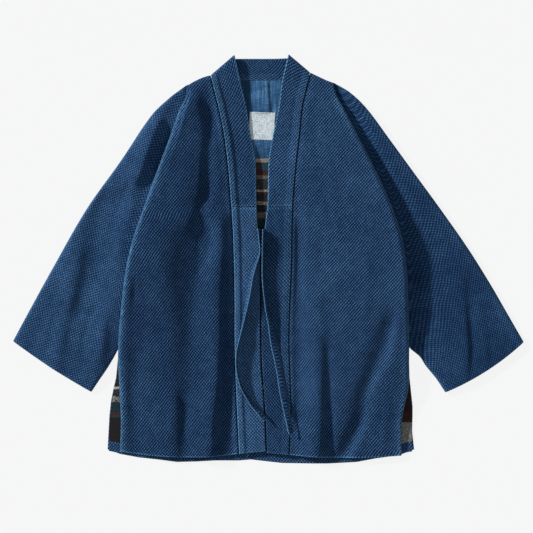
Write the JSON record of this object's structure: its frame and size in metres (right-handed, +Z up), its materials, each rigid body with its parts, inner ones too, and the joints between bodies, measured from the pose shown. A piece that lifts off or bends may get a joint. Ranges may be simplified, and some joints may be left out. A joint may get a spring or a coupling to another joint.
{
  "type": "haori jacket",
  "caption": "Indigo haori jacket of thick sashiko cotton with striped lining, laid flat on its back with fronts closed, sleeves angled down and the ties hanging loose.",
  "frame": {"origin": "the underside of the back, on its centre line, halfway between the neck seam and the hem", "axes": "+X to the right and +Y towards the collar as seen from above, +Z up from the surface it lies on"},
  "size_m": [1.003, 0.804, 0.0464],
  "materials": {
    "sashiko_cotton": "matte woven cloth",
    "chambray_lining": "matte woven cloth",
    "striped_blanket_lining": "matte woven cloth",
    "label_tape": "matte woven cloth"
  },
  "bodies": {
    "root": {"back": "sashiko_cotton", "hem_facing": "sashiko_cotton", "striped_lining": "striped_blanket_lining", "yoke_lining": "chambray_lining", "label": "label_tape", "collar": "sashiko_cotton", "front_left": "sashiko_cotton", "sleeve_left": "sashiko_cotton", "band_left": "sashiko_cotton", "tie_left": "sashiko_cotton", "front_right": "sashiko_cotton", "sleeve_right": "sashiko_cotton", "band_right": "sashiko_cotton", "tie_right": "sashiko_cotton", "sleeve_left_under": "sashiko_cotton", "sleeve_right_under": "sashiko_cotton"}
  },
  "joints": []
}
